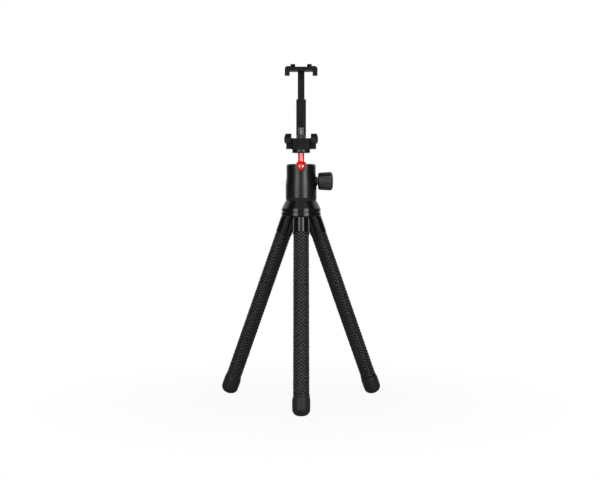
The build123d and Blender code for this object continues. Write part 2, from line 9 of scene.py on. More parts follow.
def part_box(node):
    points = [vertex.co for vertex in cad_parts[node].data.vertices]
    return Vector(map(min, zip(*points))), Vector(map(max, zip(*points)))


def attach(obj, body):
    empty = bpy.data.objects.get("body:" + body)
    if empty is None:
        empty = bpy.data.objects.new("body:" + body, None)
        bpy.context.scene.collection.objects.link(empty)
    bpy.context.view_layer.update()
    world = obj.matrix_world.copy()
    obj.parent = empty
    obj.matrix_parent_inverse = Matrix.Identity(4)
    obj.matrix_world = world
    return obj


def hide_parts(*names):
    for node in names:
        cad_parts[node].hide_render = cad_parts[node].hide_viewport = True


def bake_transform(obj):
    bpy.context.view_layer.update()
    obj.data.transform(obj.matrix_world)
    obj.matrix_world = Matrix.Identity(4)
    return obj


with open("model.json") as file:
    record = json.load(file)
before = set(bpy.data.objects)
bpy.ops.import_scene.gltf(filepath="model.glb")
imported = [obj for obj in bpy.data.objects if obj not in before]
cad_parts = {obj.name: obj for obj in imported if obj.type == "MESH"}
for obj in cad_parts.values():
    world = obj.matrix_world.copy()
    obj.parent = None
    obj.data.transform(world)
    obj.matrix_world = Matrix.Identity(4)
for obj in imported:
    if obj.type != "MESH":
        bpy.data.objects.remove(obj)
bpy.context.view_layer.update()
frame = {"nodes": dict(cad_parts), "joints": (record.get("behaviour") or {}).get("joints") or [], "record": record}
nodes = frame["nodes"]
joints = {joint["name"]: joint for joint in frame["joints"]}

MM = 0.001
SIDES = ("front", "right", "left")
WHITE = (1.0, 1.0, 1.0, 1.0)


# Small helpers for node trees

def add_node(tree, kind, **values):
    """Adds a node; values are its properties, or its inputs where they start with in_."""
    node = tree.nodes.new(kind)
    for key, value in values.items():
        if key.startswith("in_"):
            node.inputs[key.removeprefix("in_").replace("_", " ")].default_value = value
        else:
            setattr(node, key, value)
    return node


def plug(tree, source, target):
    """Joins a socket to an input, or writes a plain value on it."""
    if isinstance(source, bpy.types.NodeSocket):
        tree.links.new(source, target)
    else:
        target.default_value = source


def feed(tree, node, **sources):
    """Puts sockets or plain values on a node's inputs, by their names; gives the node."""
    for key, source in sources.items():
        plug(tree, source, node.inputs[key.replace("_", " ")])
    return node


def calc(tree, operation, *values, clamp=False):
    """A math node on sockets and numbers; gives its output."""
    node = add_node(tree, "ShaderNodeMath", operation=operation, use_clamp=clamp)
    for index, value in enumerate(values):
        plug(tree, value, node.inputs[index])
    return node.outputs[0]


def ramp(tree, source, start, end, low=0.0, high=1.0, curve="LINEAR"):
    """Runs from low to high while the source runs from start to end."""
    node = add_node(tree, "ShaderNodeMapRange", interpolation_type=curve)
    for index, value in enumerate((source, start, end, low, high)):
        plug(tree, value, node.inputs[index])
    return node.outputs["Result"]


def noise(tree, place, scale, detail, roughness=0.5):
    """The grey value of a noise at every place."""
    node = add_node(tree, "ShaderNodeTexNoise", in_Detail=detail, in_Roughness=roughness)
    return feed(tree, node, Vector=place, Scale=scale).outputs["Fac"]


def mix_colours(tree, share, first, second):
    """Runs from the first colour to the second, each a socket or a plain value."""
    node = add_node(tree, "ShaderNodeMix", data_type="RGBA")
    return feed(tree, node, Factor=share, A=first, B=second).outputs["Result"]


def object_place(tree):
    """Every place on a surface, in its object's own coordinates."""
    return add_node(tree, "ShaderNodeTexCoord").outputs["Object"]


def distance_from(tree, point):
    """How far every place on a surface is from a point."""
    apart = add_node(tree, "ShaderNodeVectorMath", operation="DISTANCE")
    apart.inputs[1].default_value = point
    tree.links.new(object_place(tree), apart.inputs[0])
    return apart.outputs["Value"]


def new_tree(name, kind, inputs, outputs):
    """A node group with named inputs and outputs, and its two end nodes."""
    tree = bpy.data.node_groups.new(name, kind)
    for label, socket_type, value in inputs:
        socket = tree.interface.new_socket(label, in_out="INPUT", socket_type=socket_type)
        if value is not None:
            socket.default_value = value
    for label, socket_type in outputs:
        tree.interface.new_socket(label, in_out="OUTPUT", socket_type=socket_type)
    return tree, tree.nodes.new("NodeGroupInput"), tree.nodes.new("NodeGroupOutput")


# Small helpers for objects

def add_object(name, data):
    """A new object in the scene."""
    thing = bpy.data.objects.new(name, data)
    bpy.context.scene.collection.objects.link(thing)
    return thing


def add_solid(name, mesh, finish):
    """A new object from a finished bmesh, all in one finish."""
    data = bpy.data.meshes.new(name)
    mesh.to_mesh(data)
    mesh.free()
    data.materials.append(finish)
    return add_object(name, data)


# Effects that several materials share

def make_grain():
    """Fine moulded or blasted grain, as a height and as slow patches."""
    tree, start, end = new_tree(
        "fine_grain",
        "ShaderNodeTree",
        [("Grain Size", "NodeSocketFloat", 0.0005), ("Patch Size", "NodeSocketFloat", 0.02)],
        [("Height", "NodeSocketFloat"), ("Patches", "NodeSocketFloat")],
    )
    place = object_place(tree)
    for size, detail, roughness, result in (
        ("Grain Size", 3.0, 0.6, "Height"),
        ("Patch Size", 4.0, 0.55, "Patches"),
    ):
        scale = calc(tree, "DIVIDE", 1.0, start.outputs[size])
        tree.links.new(noise(tree, place, scale, detail, roughness), end.inputs[result])
    return tree


# How finely edges are rounded, and the rubbed spots' scale and how both stand out
BEVEL_SAMPLES = 4
RUB_SCALE = 260.0
EDGE_GAIN = 5.0
SPOT_GAIN = 3.0


def make_wear_and_sheen_edges():
    """A mask of the outer edges, broken up as handling wears them; on the clamp it also paints a highlight along
    the edges.
    """
    tree, start, end = new_tree(
        "worn_edges",
        "ShaderNodeTree",
        [("Width", "NodeSocketFloat", 0.0004), ("Amount", "NodeSocketFloat", 1.0)],
        [("Mask", "NodeSocketFloat")],
    )
    bevel = add_node(tree, "ShaderNodeBevel", samples=BEVEL_SAMPLES)
    flat = add_node(tree, "ShaderNodeNewGeometry")
    tree.links.new(start.outputs["Width"], bevel.inputs["Radius"])
    turn = add_node(tree, "ShaderNodeVectorMath", operation="DOT_PRODUCT")
    tree.links.new(bevel.outputs["Normal"], turn.inputs[0])
    tree.links.new(flat.outputs["Normal"], turn.inputs[1])
    bent = calc(tree, "SUBTRACT", 1.0, turn.outputs["Value"])
    edge = calc(tree, "MULTIPLY", bent, EDGE_GAIN, clamp=True)
    rub = calc(tree, "MULTIPLY", noise(tree, object_place(tree), RUB_SCALE, 4.0), SPOT_GAIN)
    spots = calc(tree, "SUBTRACT", rub, 1.0, clamp=True)
    worn_and_sheen = calc(tree, "MULTIPLY", edge, spots)
    mask = calc(tree, "MULTIPLY", worn_and_sheen, start.outputs["Amount"], clamp=True)
    tree.links.new(mask, end.inputs["Mask"])
    return tree


def make_fine_lines():
    """Hairline scratches or turning marks, stretched along one direction."""
    tree, start, end = new_tree(
        "fine_lines",
        "ShaderNodeTree",
        [
            ("Stretch", "NodeSocketVector", (1.0, 1.0, 0.05)),
            ("Line Size", "NodeSocketFloat", 0.0003),
        ],
        [("Lines", "NodeSocketFloat")],
    )
    stretch = add_node(tree, "ShaderNodeVectorMath", operation="MULTIPLY")
    tree.links.new(object_place(tree), stretch.inputs[0])
    tree.links.new(start.outputs["Stretch"], stretch.inputs[1])
    scale = calc(tree, "DIVIDE", 1.0, start.outputs["Line Size"])
    tree.links.new(noise(tree, stretch.outputs["Vector"], scale, 2.0), end.inputs["Lines"])
    return tree


GRAIN = make_grain()
WEAR_AND_SHEEN_EDGES = make_wear_and_sheen_edges()
FINE_LINES = make_fine_lines()


def use_group(tree, group, **values):
    """Places a shared effect in a material, with its own values."""
    return feed(tree, add_node(tree, "ShaderNodeGroup", node_tree=group), **values)


def add_bump(tree, height, distance):
    """A bump of this many metres."""
    bump = add_node(tree, "ShaderNodeBump", in_Strength=1.0, in_Distance=distance)
    return feed(tree, bump, Height=height)


# The spans of the patches' noise that the tones run over, and of the pebbles' rise over which shade is painted
# into the valleys
TONE_SPAN = (0.35, 0.65)
ROUGHNESS_SPAN = (0.3, 0.7)
VALLEY_SHADE_SPAN = (0.1, 0.75)
# The black that is painted into the pebbles' valleys as shade
VALLEY_SHADE_BLACK = (0.002, 0.002, 0.002, 1.0)
# The band of wear and painted edge highlight as a share of an edge's rounding, and what it and the lines add to
# the roughness
WEAR_AND_SHEEN_REACH = 1.5
WEAR_ROUGHNESS = 0.12
LINE_ROUGHNESS = 0.06


def grey(level):
    """A colour without a hue."""
    return (level, level, level)


def shade(
    name,
    dark,
    light,
    rough,
    metallic=0.0,
    specular=0.5,
    coat=0.0,
    coat_rough=0.1,
    coat_ior=1.5,
    grain=0.0005,
    patch=0.02,
    relief=0.00002,
    rounding=0.0003,
    wear_and_sheen=0.0,
    wear_and_sheen_colour=(0.2, 0.2, 0.2),
    lines=None,
    line_size=0.0003,
    line_relief=0.00001,
    valley_shade=0.0,
):
    """A finish with its sizes in metres: two tones and a range of roughness in slow patches,
    grain and soft edges, and where they are asked for shade painted into the valleys, edges
    lightened for wear (on the clamp also as a painted highlight) and fine lines."""
    material = bpy.data.materials.new(name)
    material.use_nodes = True
    tree = material.node_tree
    shader = tree.nodes["Principled BSDF"]
    feed(
        tree, shader, Metallic=metallic, Specular_IOR_Level=specular, Coat_Weight=coat,
        Coat_Roughness=coat_rough, Coat_IOR=coat_ior,
    )
    surface = use_group(tree, GRAIN, Grain_Size=grain, Patch_Size=patch)
    patches = surface.outputs["Patches"]
    colour = mix_colours(tree, ramp(tree, patches, *TONE_SPAN), (*dark, 1.0), (*light, 1.0))
    roughness = ramp(tree, patches, *ROUGHNESS_SPAN, *rough)
    # Painted shade: the pebbles' valleys are darkened towards black and made less shiny
    if valley_shade:
        rise = add_node(tree, "ShaderNodeAttribute", attribute_name="rise")
        painted_shade = ramp(tree, rise.outputs["Fac"], *VALLEY_SHADE_SPAN, 1.0 - valley_shade, 1.0)
        colour = mix_colours(tree, painted_shade, VALLEY_SHADE_BLACK, colour)
        feed(tree, shader, Specular_IOR_Level=calc(tree, "MULTIPLY", painted_shade, specular))
    if wear_and_sheen:
        effect = use_group(tree, WEAR_AND_SHEEN_EDGES, Width=rounding * WEAR_AND_SHEEN_REACH, Amount=wear_and_sheen)
        worn_and_sheen = effect.outputs["Mask"]
        colour = mix_colours(tree, worn_and_sheen, colour, (*wear_and_sheen_colour, 1.0))
        roughness = calc(tree, "ADD", roughness, calc(tree, "MULTIPLY", worn_and_sheen, WEAR_ROUGHNESS))
    bump = add_bump(tree, surface.outputs["Height"], relief)
    deepest = bump
    if lines:
        effect = use_group(tree, FINE_LINES, Stretch=lines, Line_Size=line_size)
        marks = effect.outputs["Lines"]
        roughness = calc(tree, "ADD", roughness, calc(tree, "MULTIPLY", marks, LINE_ROUGHNESS))
        deepest = add_bump(tree, marks, line_relief)
        tree.links.new(deepest.outputs["Normal"], bump.inputs["Normal"])
    if rounding:
        bevel = add_node(tree, "ShaderNodeBevel", samples=BEVEL_SAMPLES, in_Radius=rounding)
        tree.links.new(bevel.outputs["Normal"], deepest.inputs["Normal"])
    feed(tree, shader, Normal=bump.outputs["Normal"], Base_Color=colour, Roughness=roughness)
    return material


gloss_black = shade(
    "gloss_black_moulding", grey(0.003), grey(0.005), (0.09, 0.15), specular=0.55,
    grain=0.0022, patch=0.012, relief=0.000006, rounding=0.00035, wear_and_sheen=0.25,
    wear_and_sheen_colour=grey(0.05), lines=(1.0, 1.0, 0.06), line_size=0.0006, line_relief=0.000002,
)
satin_black = shade(
    "satin_black_anodised", grey(0.002), grey(0.0035), (0.28, 0.35), specular=0.6,
    grain=0.0003, patch=0.015, relief=0.00001, rounding=0.0004, wear_and_sheen=0.35,
    wear_and_sheen_colour=grey(0.09),
)
# The pebbled skin has shade painted into the valleys between its pebbles
skin_rubber = shade(
    "pebbled_black_rubber", grey(0.011), grey(0.017), (0.38, 0.5), grain=0.00045, patch=0.009,
    relief=0.00005, rounding=0.0, valley_shade=0.68,
)
foot_rubber = shade(
    "smooth_black_rubber", grey(0.011), grey(0.014), (0.42, 0.54), specular=0.35,
    grain=0.0005, patch=0.008, relief=0.00003, rounding=0.0,
)
red_anodised = shade(
    "polished_red_anodised", (0.94, 0.006, 0.007), (0.98, 0.009, 0.01), (0.16, 0.22),
    specular=0.6, coat=1.0, coat_rough=0.14, coat_ior=2.2, grain=0.0008, patch=0.006,
    relief=0.000004, rounding=0.0002, lines=(0.05, 0.05, 1.0), line_size=0.0002,
    line_relief=0.000002,
)
bright_steel = shade(
    "bright_steel", (0.34, 0.34, 0.34), (0.45, 0.45, 0.44), (0.24, 0.36), metallic=1.0,
    grain=0.0004, patch=0.004, relief=0.000006, rounding=0.0,
)
plated_steel = shade(
    "plated_steel", (0.36, 0.36, 0.37), (0.46, 0.46, 0.46), (0.28, 0.4), metallic=1.0,
    grain=0.0003, patch=0.003, relief=0.000008, rounding=0.0001,
)
knob_black = shade(
    "matte_black_moulding", grey(0.005), grey(0.008), (0.28, 0.35), specular=1.0,
    grain=0.0004, patch=0.01, relief=0.00002, rounding=0.0005, wear_and_sheen=0.3,
    wear_and_sheen_colour=grey(0.05),
)
# The clamp's lightened edges are partly wear and partly a painted highlight along the edges
clamp_black = shade(
    "satin_black_moulding", grey(0.003), grey(0.005), (0.28, 0.36), specular=0.3,
    grain=0.00035, patch=0.008, relief=0.000018, rounding=0.0005, wear_and_sheen=0.7,
    wear_and_sheen_colour=grey(0.12),
)
grip_rubber = shade(
    "soft_black_rubber", grey(0.005), grey(0.008), (0.5, 0.6), specular=0.3, grain=0.0005,
    patch=0.006, relief=0.00004, rounding=0.0005,
)
nylon = shade(
    "natural_nylon", (0.62, 0.61, 0.56), (0.68, 0.67, 0.63), (0.4, 0.5), grain=0.0005,
    patch=0.01, relief=0.00001, rounding=0.0003,
)
core_filler = shade(
    "core_filler", (0.045, 0.045, 0.047), (0.06, 0.06, 0.062), (0.6, 0.7), specular=0.4,
    grain=0.0006, patch=0.01, relief=0.00003, rounding=0.0,
)
plug_black = shade(
    "plug_moulding", (0.035, 0.035, 0.036), (0.045, 0.045, 0.047), (0.45, 0.55),
    grain=0.0005, patch=0.01, relief=0.00002, rounding=0.0003,
)

FINISHES = {
    "crown_gloss": gloss_black,
    "leg_skin": skin_rubber,
    "leg_core": core_filler,
    "core_plug": plug_black,
    "foot_rubber": foot_rubber,
    "bolt_steel": plated_steel,
    "stud_steel": bright_steel,
    "spring_steel": plated_steel,
    "barrel_black": satin_black,
    "cup_nylon": nylon,
    "ball_red": red_anodised,
    "knob_black": knob_black,
    "clamp_black": clamp_black,
    "grip_rubber": grip_rubber,
}

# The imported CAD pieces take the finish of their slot
slot_of = {entry["node"]: entry["material_slot"] for entry in frame["record"]["subparts"]}
for node_name, node in nodes.items():
    finish = FINISHES[slot_of[node_name]]
    if not node.material_slots:
        node.data.materials.append(finish)
    for material_slot in node.material_slots:
        material_slot.material = finish


# A painted highlight on the boss that the stud stands on, which makes it paler than the clamp's block below it
BLOCK_HEIGHT = 11.6 * MM
BOSS_HEIGHT = 4.2 * MM
BOSS_REACH = 5.8 * MM
BOSS_BLUR = 0.2 * MM
BOSS_HIGHLIGHT_GREY = (0.04, 0.04, 0.04, 1.0)


def paint_boss_highlight(finish):
    """Gives the clamp foot a copy of a finish that turns paler around the boss's middle, as a painted highlight.
    """
    low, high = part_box("platform")
    middle = (low + high) / 2
    middle.z = high.z + BLOCK_HEIGHT + BOSS_HEIGHT / 2
    highlighted = finish.copy()
    highlighted.name = "satin_black_moulding_with_pale_boss"
    tree = highlighted.node_tree
    base = tree.nodes["Principled BSDF"].inputs["Base Color"]
    away = distance_from(tree, middle)
    highlight_share = ramp(tree, away, BOSS_REACH - BOSS_BLUR, BOSS_REACH, 1.0, 0.0)
    colour = mix_colours(tree, highlight_share, base.links[0].from_socket, BOSS_HIGHLIGHT_GREY)
    tree.links.new(colour, base)
    for material_slot in nodes["clamp_foot"].material_slots:
        material_slot.material = highlighted


paint_boss_highlight(clamp_black)


# Pieces made by Geometry Nodes: the legs' pebbled skins, their cores, the stud's thread and the
# pull spring's coil

def split_place(tree):
    """Every point's place, and its X, Y and Z."""
    place = add_node(tree, "GeometryNodeInputPosition").outputs[0]
    parts = feed(tree, add_node(tree, "ShaderNodeSeparateXYZ"), Vector=place)
    return place, *parts.outputs


def radial_move(tree, scale, shape):
    """Moves every point to a new distance from the Z axis, as a share of the one that it has."""
    _, x, y, z = split_place(tree)
    whole = add_node(tree, "ShaderNodeCombineXYZ")
    feed(
        tree, whole, X=calc(tree, "MULTIPLY", x, scale), Y=calc(tree, "MULTIPLY", y, scale), Z=z,
    )
    move = add_node(tree, "GeometryNodeSetPosition")
    feed(tree, move, Geometry=shape, Position=whole.outputs[0])
    return move.outputs["Geometry"]


def finish_tree(tree, start, end, shape):
    """Smooth shading, then Realize Instances and Set Material, as every tree ends."""
    smooth = feed(tree, add_node(tree, "GeometryNodeSetShadeSmooth"), Geometry=shape)
    real = add_node(tree, "GeometryNodeRealizeInstances")
    feed(tree, real, Geometry=smooth.outputs[0])
    paint = add_node(tree, "GeometryNodeSetMaterial")
    feed(tree, paint, Geometry=real.outputs[0], Material=start.outputs["Finish"])
    tree.links.new(paint.outputs[0], end.inputs["Shape"])


# How the pebbles stray from their rows, and how their heights differ
STRAY_SCALE = 170.0
STRAY_TURN = 5.0
HEIGHT_SCALE = 420.0
HEIGHT_MIDDLE = 0.6


def make_tube_tree():
    """A round tube along Z whose surface is covered with staggered pebbles."""
    tree, start, end = new_tree(
        "pebbled_tube",
        "GeometryNodeTree",
        [
            ("Length", "NodeSocketFloat", 0.1),
            ("Radius", "NodeSocketFloat", 0.008),
            ("Relief", "NodeSocketFloat", 0.0005),
            ("Pebbles Around", "NodeSocketInt", 12),
            ("Pebble Pitch", "NodeSocketFloat", 0.0042),
            ("Unevenness", "NodeSocketFloat", 0.3),
            ("Faces Per Pebble", "NodeSocketInt", 8),
            ("Finish", "NodeSocketMaterial", None),
        ],
        [("Shape", "NodeSocketGeometry")],
    )
    value = start.outputs
    columns = calc(tree, "MULTIPLY", value["Pebbles Around"], value["Faces Per Pebble"])
    pitches = calc(tree, "DIVIDE", value["Length"], value["Pebble Pitch"])
    rows = calc(tree, "MULTIPLY", pitches, value["Faces Per Pebble"])
    tube = add_node(tree, "GeometryNodeMeshCylinder", fill_type="TRIANGLE_FAN")
    feed(
        tree, tube, Vertices=columns, Side_Segments=rows, Radius=value["Radius"],
        Depth=value["Length"],
    )
    place, x, y, height = split_place(tree)
    angle = calc(tree, "ARCTAN2", y, x)
    drift = calc(tree, "SUBTRACT", noise(tree, place, STRAY_SCALE, 1.0), 0.5)
    stray = calc(tree, "MULTIPLY", drift, STRAY_TURN)
    turns = calc(tree, "ADD", calc(tree, "MULTIPLY", angle, value["Pebbles Around"]), stray)
    steps = calc(tree, "DIVIDE", calc(tree, "MULTIPLY", height, math.tau), value["Pebble Pitch"])
    wave_along = calc(tree, "COSINE", calc(tree, "SUBTRACT", steps, stray))
    wave = calc(tree, "MULTIPLY", calc(tree, "COSINE", turns), wave_along)
    pebble = calc(tree, "ADD", calc(tree, "MULTIPLY", wave, 0.5), 0.5)
    uneven = calc(tree, "SUBTRACT", noise(tree, place, HEIGHT_SCALE, 2.0), HEIGHT_MIDDLE)
    swing = calc(tree, "MULTIPLY", uneven, value["Unevenness"])
    low = calc(tree, "SUBTRACT", calc(tree, "ADD", pebble, swing), 1.0)
    depth = calc(tree, "MULTIPLY", calc(tree, "MINIMUM", low, 0.0), value["Relief"])
    share = calc(tree, "ADD", calc(tree, "DIVIDE", depth, value["Radius"]), 1.0)
    moved = radial_move(tree, share, tube.outputs["Mesh"])
    keep = add_node(
        tree, "GeometryNodeStoreNamedAttribute", data_type="FLOAT", domain="POINT", in_Name="rise",
    )
    feed(tree, keep, Geometry=moved, Value=pebble)
    finish_tree(tree, start, end, keep.outputs["Geometry"])
    return tree


# The post's sides, and the rows of faces in each turn of its thread
POST_SIDES = 48
ROWS_PER_TURN = 10.0


def make_thread_tree():
    """A threaded post along Z, with a chamfered top end."""
    tree, start, end = new_tree(
        "threaded_post",
        "GeometryNodeTree",
        [
            ("Length", "NodeSocketFloat", 0.028),
            ("Radius", "NodeSocketFloat", 0.003175),
            ("Pitch", "NodeSocketFloat", 0.00127),
            ("Depth", "NodeSocketFloat", 0.0006),
            ("Chamfer", "NodeSocketFloat", 0.0009),
            ("Finish", "NodeSocketMaterial", None),
        ],
        [("Shape", "NodeSocketGeometry")],
    )
    value = start.outputs
    turns_in_all = calc(tree, "DIVIDE", value["Length"], value["Pitch"])
    rows = calc(tree, "MULTIPLY", turns_in_all, ROWS_PER_TURN)
    post = add_node(
        tree, "GeometryNodeMeshCylinder", fill_type="TRIANGLE_FAN", in_Vertices=POST_SIDES,
    )
    feed(tree, post, Side_Segments=rows, Radius=value["Radius"], Depth=value["Length"])
    _, x, y, height = split_place(tree)
    around = calc(tree, "DIVIDE", calc(tree, "ARCTAN2", y, x), math.tau)
    turns = calc(tree, "SUBTRACT", calc(tree, "DIVIDE", height, value["Pitch"]), around)
    flank = calc(tree, "ABSOLUTE", calc(tree, "SUBTRACT", calc(tree, "FRACT", turns), 0.5))
    cut = calc(tree, "MULTIPLY", calc(tree, "MULTIPLY", flank, 2.0), value["Depth"])
    radius = calc(tree, "SUBTRACT", value["Radius"], cut)
    above = calc(tree, "SUBTRACT", calc(tree, "MULTIPLY", value["Length"], 0.5), height)
    tip = calc(tree, "ADD", calc(tree, "SUBTRACT", value["Radius"], value["Chamfer"]), above)
    share = calc(tree, "DIVIDE", calc(tree, "MINIMUM", radius, tip), value["Radius"])
    finish_tree(tree, start, end, radial_move(tree, share, post.outputs["Mesh"]))
    return tree


# Steps in each turn of the coil, and its wire's sides
COIL_STEPS = 24
WIRE_SIDES = 10


def make_coil_tree():
    """A coil spring that stands on the origin along Z."""
    tree, start, end = new_tree(
        "coil_spring",
        "GeometryNodeTree",
        [
            ("Length", "NodeSocketFloat", 0.02),
            ("Radius", "NodeSocketFloat", 0.001),
            ("Wire Radius", "NodeSocketFloat", 0.0003),
            ("Turns", "NodeSocketFloat", 16.0),
            ("Finish", "NodeSocketMaterial", None),
        ],
        [("Shape", "NodeSocketGeometry")],
    )
    value = start.outputs
    coil = add_node(tree, "GeometryNodeCurveSpiral", in_Resolution=COIL_STEPS)
    feed(
        tree, coil, Height=value["Length"], Rotations=value["Turns"],
        Start_Radius=value["Radius"], End_Radius=value["Radius"],
    )
    wire = add_node(tree, "GeometryNodeCurvePrimitiveCircle", in_Resolution=WIRE_SIDES)
    feed(tree, wire, Radius=value["Wire Radius"])
    sweep = add_node(tree, "GeometryNodeCurveToMesh", in_Fill_Caps=True)
    feed(tree, sweep, Curve=coil.outputs["Curve"], Profile_Curve=wire.outputs["Curve"])
    finish_tree(tree, start, end, sweep.outputs["Mesh"])
    return tree


PEBBLED_TUBE = make_tube_tree()
THREADED_POST = make_thread_tree()
COIL_SPRING = make_coil_tree()


def grow(tree, name, placement, **values):
    """Runs a tree with these values and gives the result as a plain mesh, in its place."""
    seed = add_object(name + "_seed", bpy.data.meshes.new(name + "_seed"))
    modifier = seed.modifiers.new("grow", "NODES")
    modifier.node_group = tree
    for item in tree.interface.items_tree:
        key = item.name.replace(" ", "_")
        if item.item_type == "SOCKET" and item.in_out == "INPUT" and key in values:
            modifier[item.identifier] = values[key]
    grown = seed.evaluated_get(bpy.context.evaluated_depsgraph_get())
    mesh = bpy.data.meshes.new_from_object(grown)
    bpy.data.objects.remove(seed)
    mesh.name = name
    mesh.transform(placement)
    return add_object(name, mesh)


# Distances along a leg, from the crown's seat down
UPPER_BEND = 36.5 * MM
LOWER_BEND = 111.5 * MM
BEND_REACH = 12.0 * MM
SKIN_TOP = 10.6 * MM
SKIN_JOIN = 74.0 * MM
SKIN_END = 187.2 * MM
CORE_TOP = -6.0 * MM
CORE_END = 196.15 * MM

# The skin's radius, and how far its pebbles rise past it
SKIN_RADIUS = 8.15 * MM
PEBBLE_RISE = 0.25 * MM
SKIN_TUBE = dict(
    Radius=SKIN_RADIUS + PEBBLE_RISE, Relief=0.7 * MM, Pebbles_Around=9, Pebble_Pitch=3.6 * MM,
    Unevenness=0.75, Faces_Per_Pebble=10, Finish=skin_rubber,
)
CORE_TUBE = dict(
    Radius=5.3 * MM, Relief=0.0, Pebbles_Around=12, Pebble_Pitch=6.0 * MM, Unevenness=0.0,
    Faces_Per_Pebble=2, Finish=core_filler,
)


class Leg:
    """One leg's line in the object's frame, read from its two bend joints."""

    def __init__(self, side):
        upper = Vector(joints[side + "_upper_bend"]["pos_m"])
        lower = Vector(joints[side + "_lower_bend"]["pos_m"])
        self.down = (lower - upper).normalized()
        self.seat = upper - self.down * UPPER_BEND
        outward = Vector((self.down.x, self.down.y, 0.0)).normalized()
        self.across = (outward - self.down * outward.dot(self.down)).normalized()
        self.aside = self.down.cross(self.across)

    def at(self, along):
        """The point of the leg's middle line that far below the seat."""
        return self.seat + self.down * along

    def frame_at(self, along):
        """The leg's own axes at that point: X outward, Z down the leg."""
        turn = Matrix((self.across, self.aside, self.down)).transposed().to_4x4()
        return Matrix.Translation(self.at(along)) @ turn


def make_run(leg, name, top, bottom, tube):
    """A tube between two distances along a leg."""
    return grow(PEBBLED_TUBE, name, leg.frame_at((top + bottom) / 2), Length=bottom - top, **tube)


def make_leg_tubes(side, leg):
    """The skin and the core of a leg, each in an upper and a lower run, and each run spanning one bend joint."""
    middle = side + "_middle"
    lower = side + "_lower"
    upper_run = ("crown", middle, UPPER_BEND, SKIN_TOP, SKIN_JOIN, CORE_TOP, SKIN_JOIN)
    lower_run = (middle, lower, LOWER_BEND, SKIN_JOIN, SKIN_END, SKIN_JOIN, CORE_END)
    for run, parts, places in (
        ("upper", ("root", "middle"), upper_run),
        ("lower", ("lower",), lower_run),
    ):
        first, second, bend, skin_top, skin_end, core_top, core_end = places
        skin = make_run(leg, f"{side}_{run}_skin", skin_top, skin_end, SKIN_TUBE)
        core = make_run(leg, f"{side}_{run}_core", core_top, core_end, CORE_TUBE)
        for piece, slot_name, kind in ((skin, "leg_skin", "skin"), (core, "leg_core", "core")):
            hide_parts(*[f"{side}_{kind}_{part}" for part in parts])
            leg.at(bend - BEND_REACH)
            leg.at(bend + BEND_REACH)
            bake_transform(piece)


# The rubber feet, turned on the leg's line, with a slanted upper edge and a tread near the sole
FOOT_TOP = SKIN_END
FOOT_LENGTH = 20.8 * MM
FOOT_RADIUS = 9.1 * MM
FOOT_ROUND = 6.6 * MM
FOOT_NECK_RADIUS = 8.5 * MM
FOOT_NECK = 5.5 * MM
FOOT_BORE = 5.95 * MM
FOOT_BORE_DEPTH = 12.0 * MM
FOOT_SLANT = 1.5 * MM
LIP = 0.5 * MM
LIP_SIDE = 0.15 * MM
LIP_DROP = 0.12 * MM
TREAD_START = FOOT_LENGTH - FOOT_ROUND - 2.2 * MM
TREAD_END = FOOT_LENGTH - 1.0 * MM
TREAD_FADE = 1.0 * MM
TREAD_DEPTH = 0.28 * MM
TREAD_PITCH = 1.3 * MM
TREAD_AROUND = 26
NECK_STEPS = 10
SIDE_STEPS = 24
ROUND_STEPS = 26
FOOT_STEPS = 208


def foot_profile():
    """Radius and distance from the foot's top, from the bore's floor up and round to the sole."""
    line = [
        (0.0, FOOT_BORE_DEPTH),
        (FOOT_BORE, FOOT_BORE_DEPTH),
        (FOOT_BORE, 0.0),
        (FOOT_NECK_RADIUS - LIP, 0.0),
        (FOOT_NECK_RADIUS - LIP_SIDE, LIP_DROP),
        (FOOT_NECK_RADIUS, LIP),
    ]
    for step in range(1, NECK_STEPS + 1):
        share = step / NECK_STEPS
        swell = share * share * (3 - 2 * share)
        radius = FOOT_NECK_RADIUS + (FOOT_RADIUS - FOOT_NECK_RADIUS) * swell
        line.append((radius, LIP + (FOOT_NECK - LIP) * share))
    straight = FOOT_LENGTH - FOOT_ROUND
    for step in range(1, SIDE_STEPS + 1):
        line.append((FOOT_RADIUS, FOOT_NECK + (straight - FOOT_NECK) * step / SIDE_STEPS))
    for step in range(1, ROUND_STEPS + 1):
        turn = math.pi / 2 * step / ROUND_STEPS
        radius = FOOT_RADIUS - FOOT_ROUND * (1 - math.cos(turn))
        line.append((radius, straight + FOOT_ROUND * math.sin(turn)))
    line.append((0.0, FOOT_LENGTH))
    return line


def foot_ring(radius, along):
    """The foot's points at one place of its profile, with the tread and the slant."""
    if radius == 0.0:
        return [(0.0, 0.0, along)]
    points = []
    for step in range(FOOT_STEPS):
        turn = math.tau * step / FOOT_STEPS
        reach = radius
        shift = along
        if TREAD_START < along < TREAD_END and radius > FOOT_RADIUS / 2:
            below = along - TREAD_START
            rows = math.cos(math.tau * below / TREAD_PITCH)
            teeth = math.cos(TREAD_AROUND * turn)
            reach -= TREAD_DEPTH * (0.5 - 0.5 * rows * teeth) * min(1.0, below / TREAD_FADE)
        if along < FOOT_NECK:
            shift += FOOT_SLANT * math.sin(turn) * (1 - along / FOOT_NECK)
        points.append((reach * math.cos(turn), reach * math.sin(turn), shift))
    return points


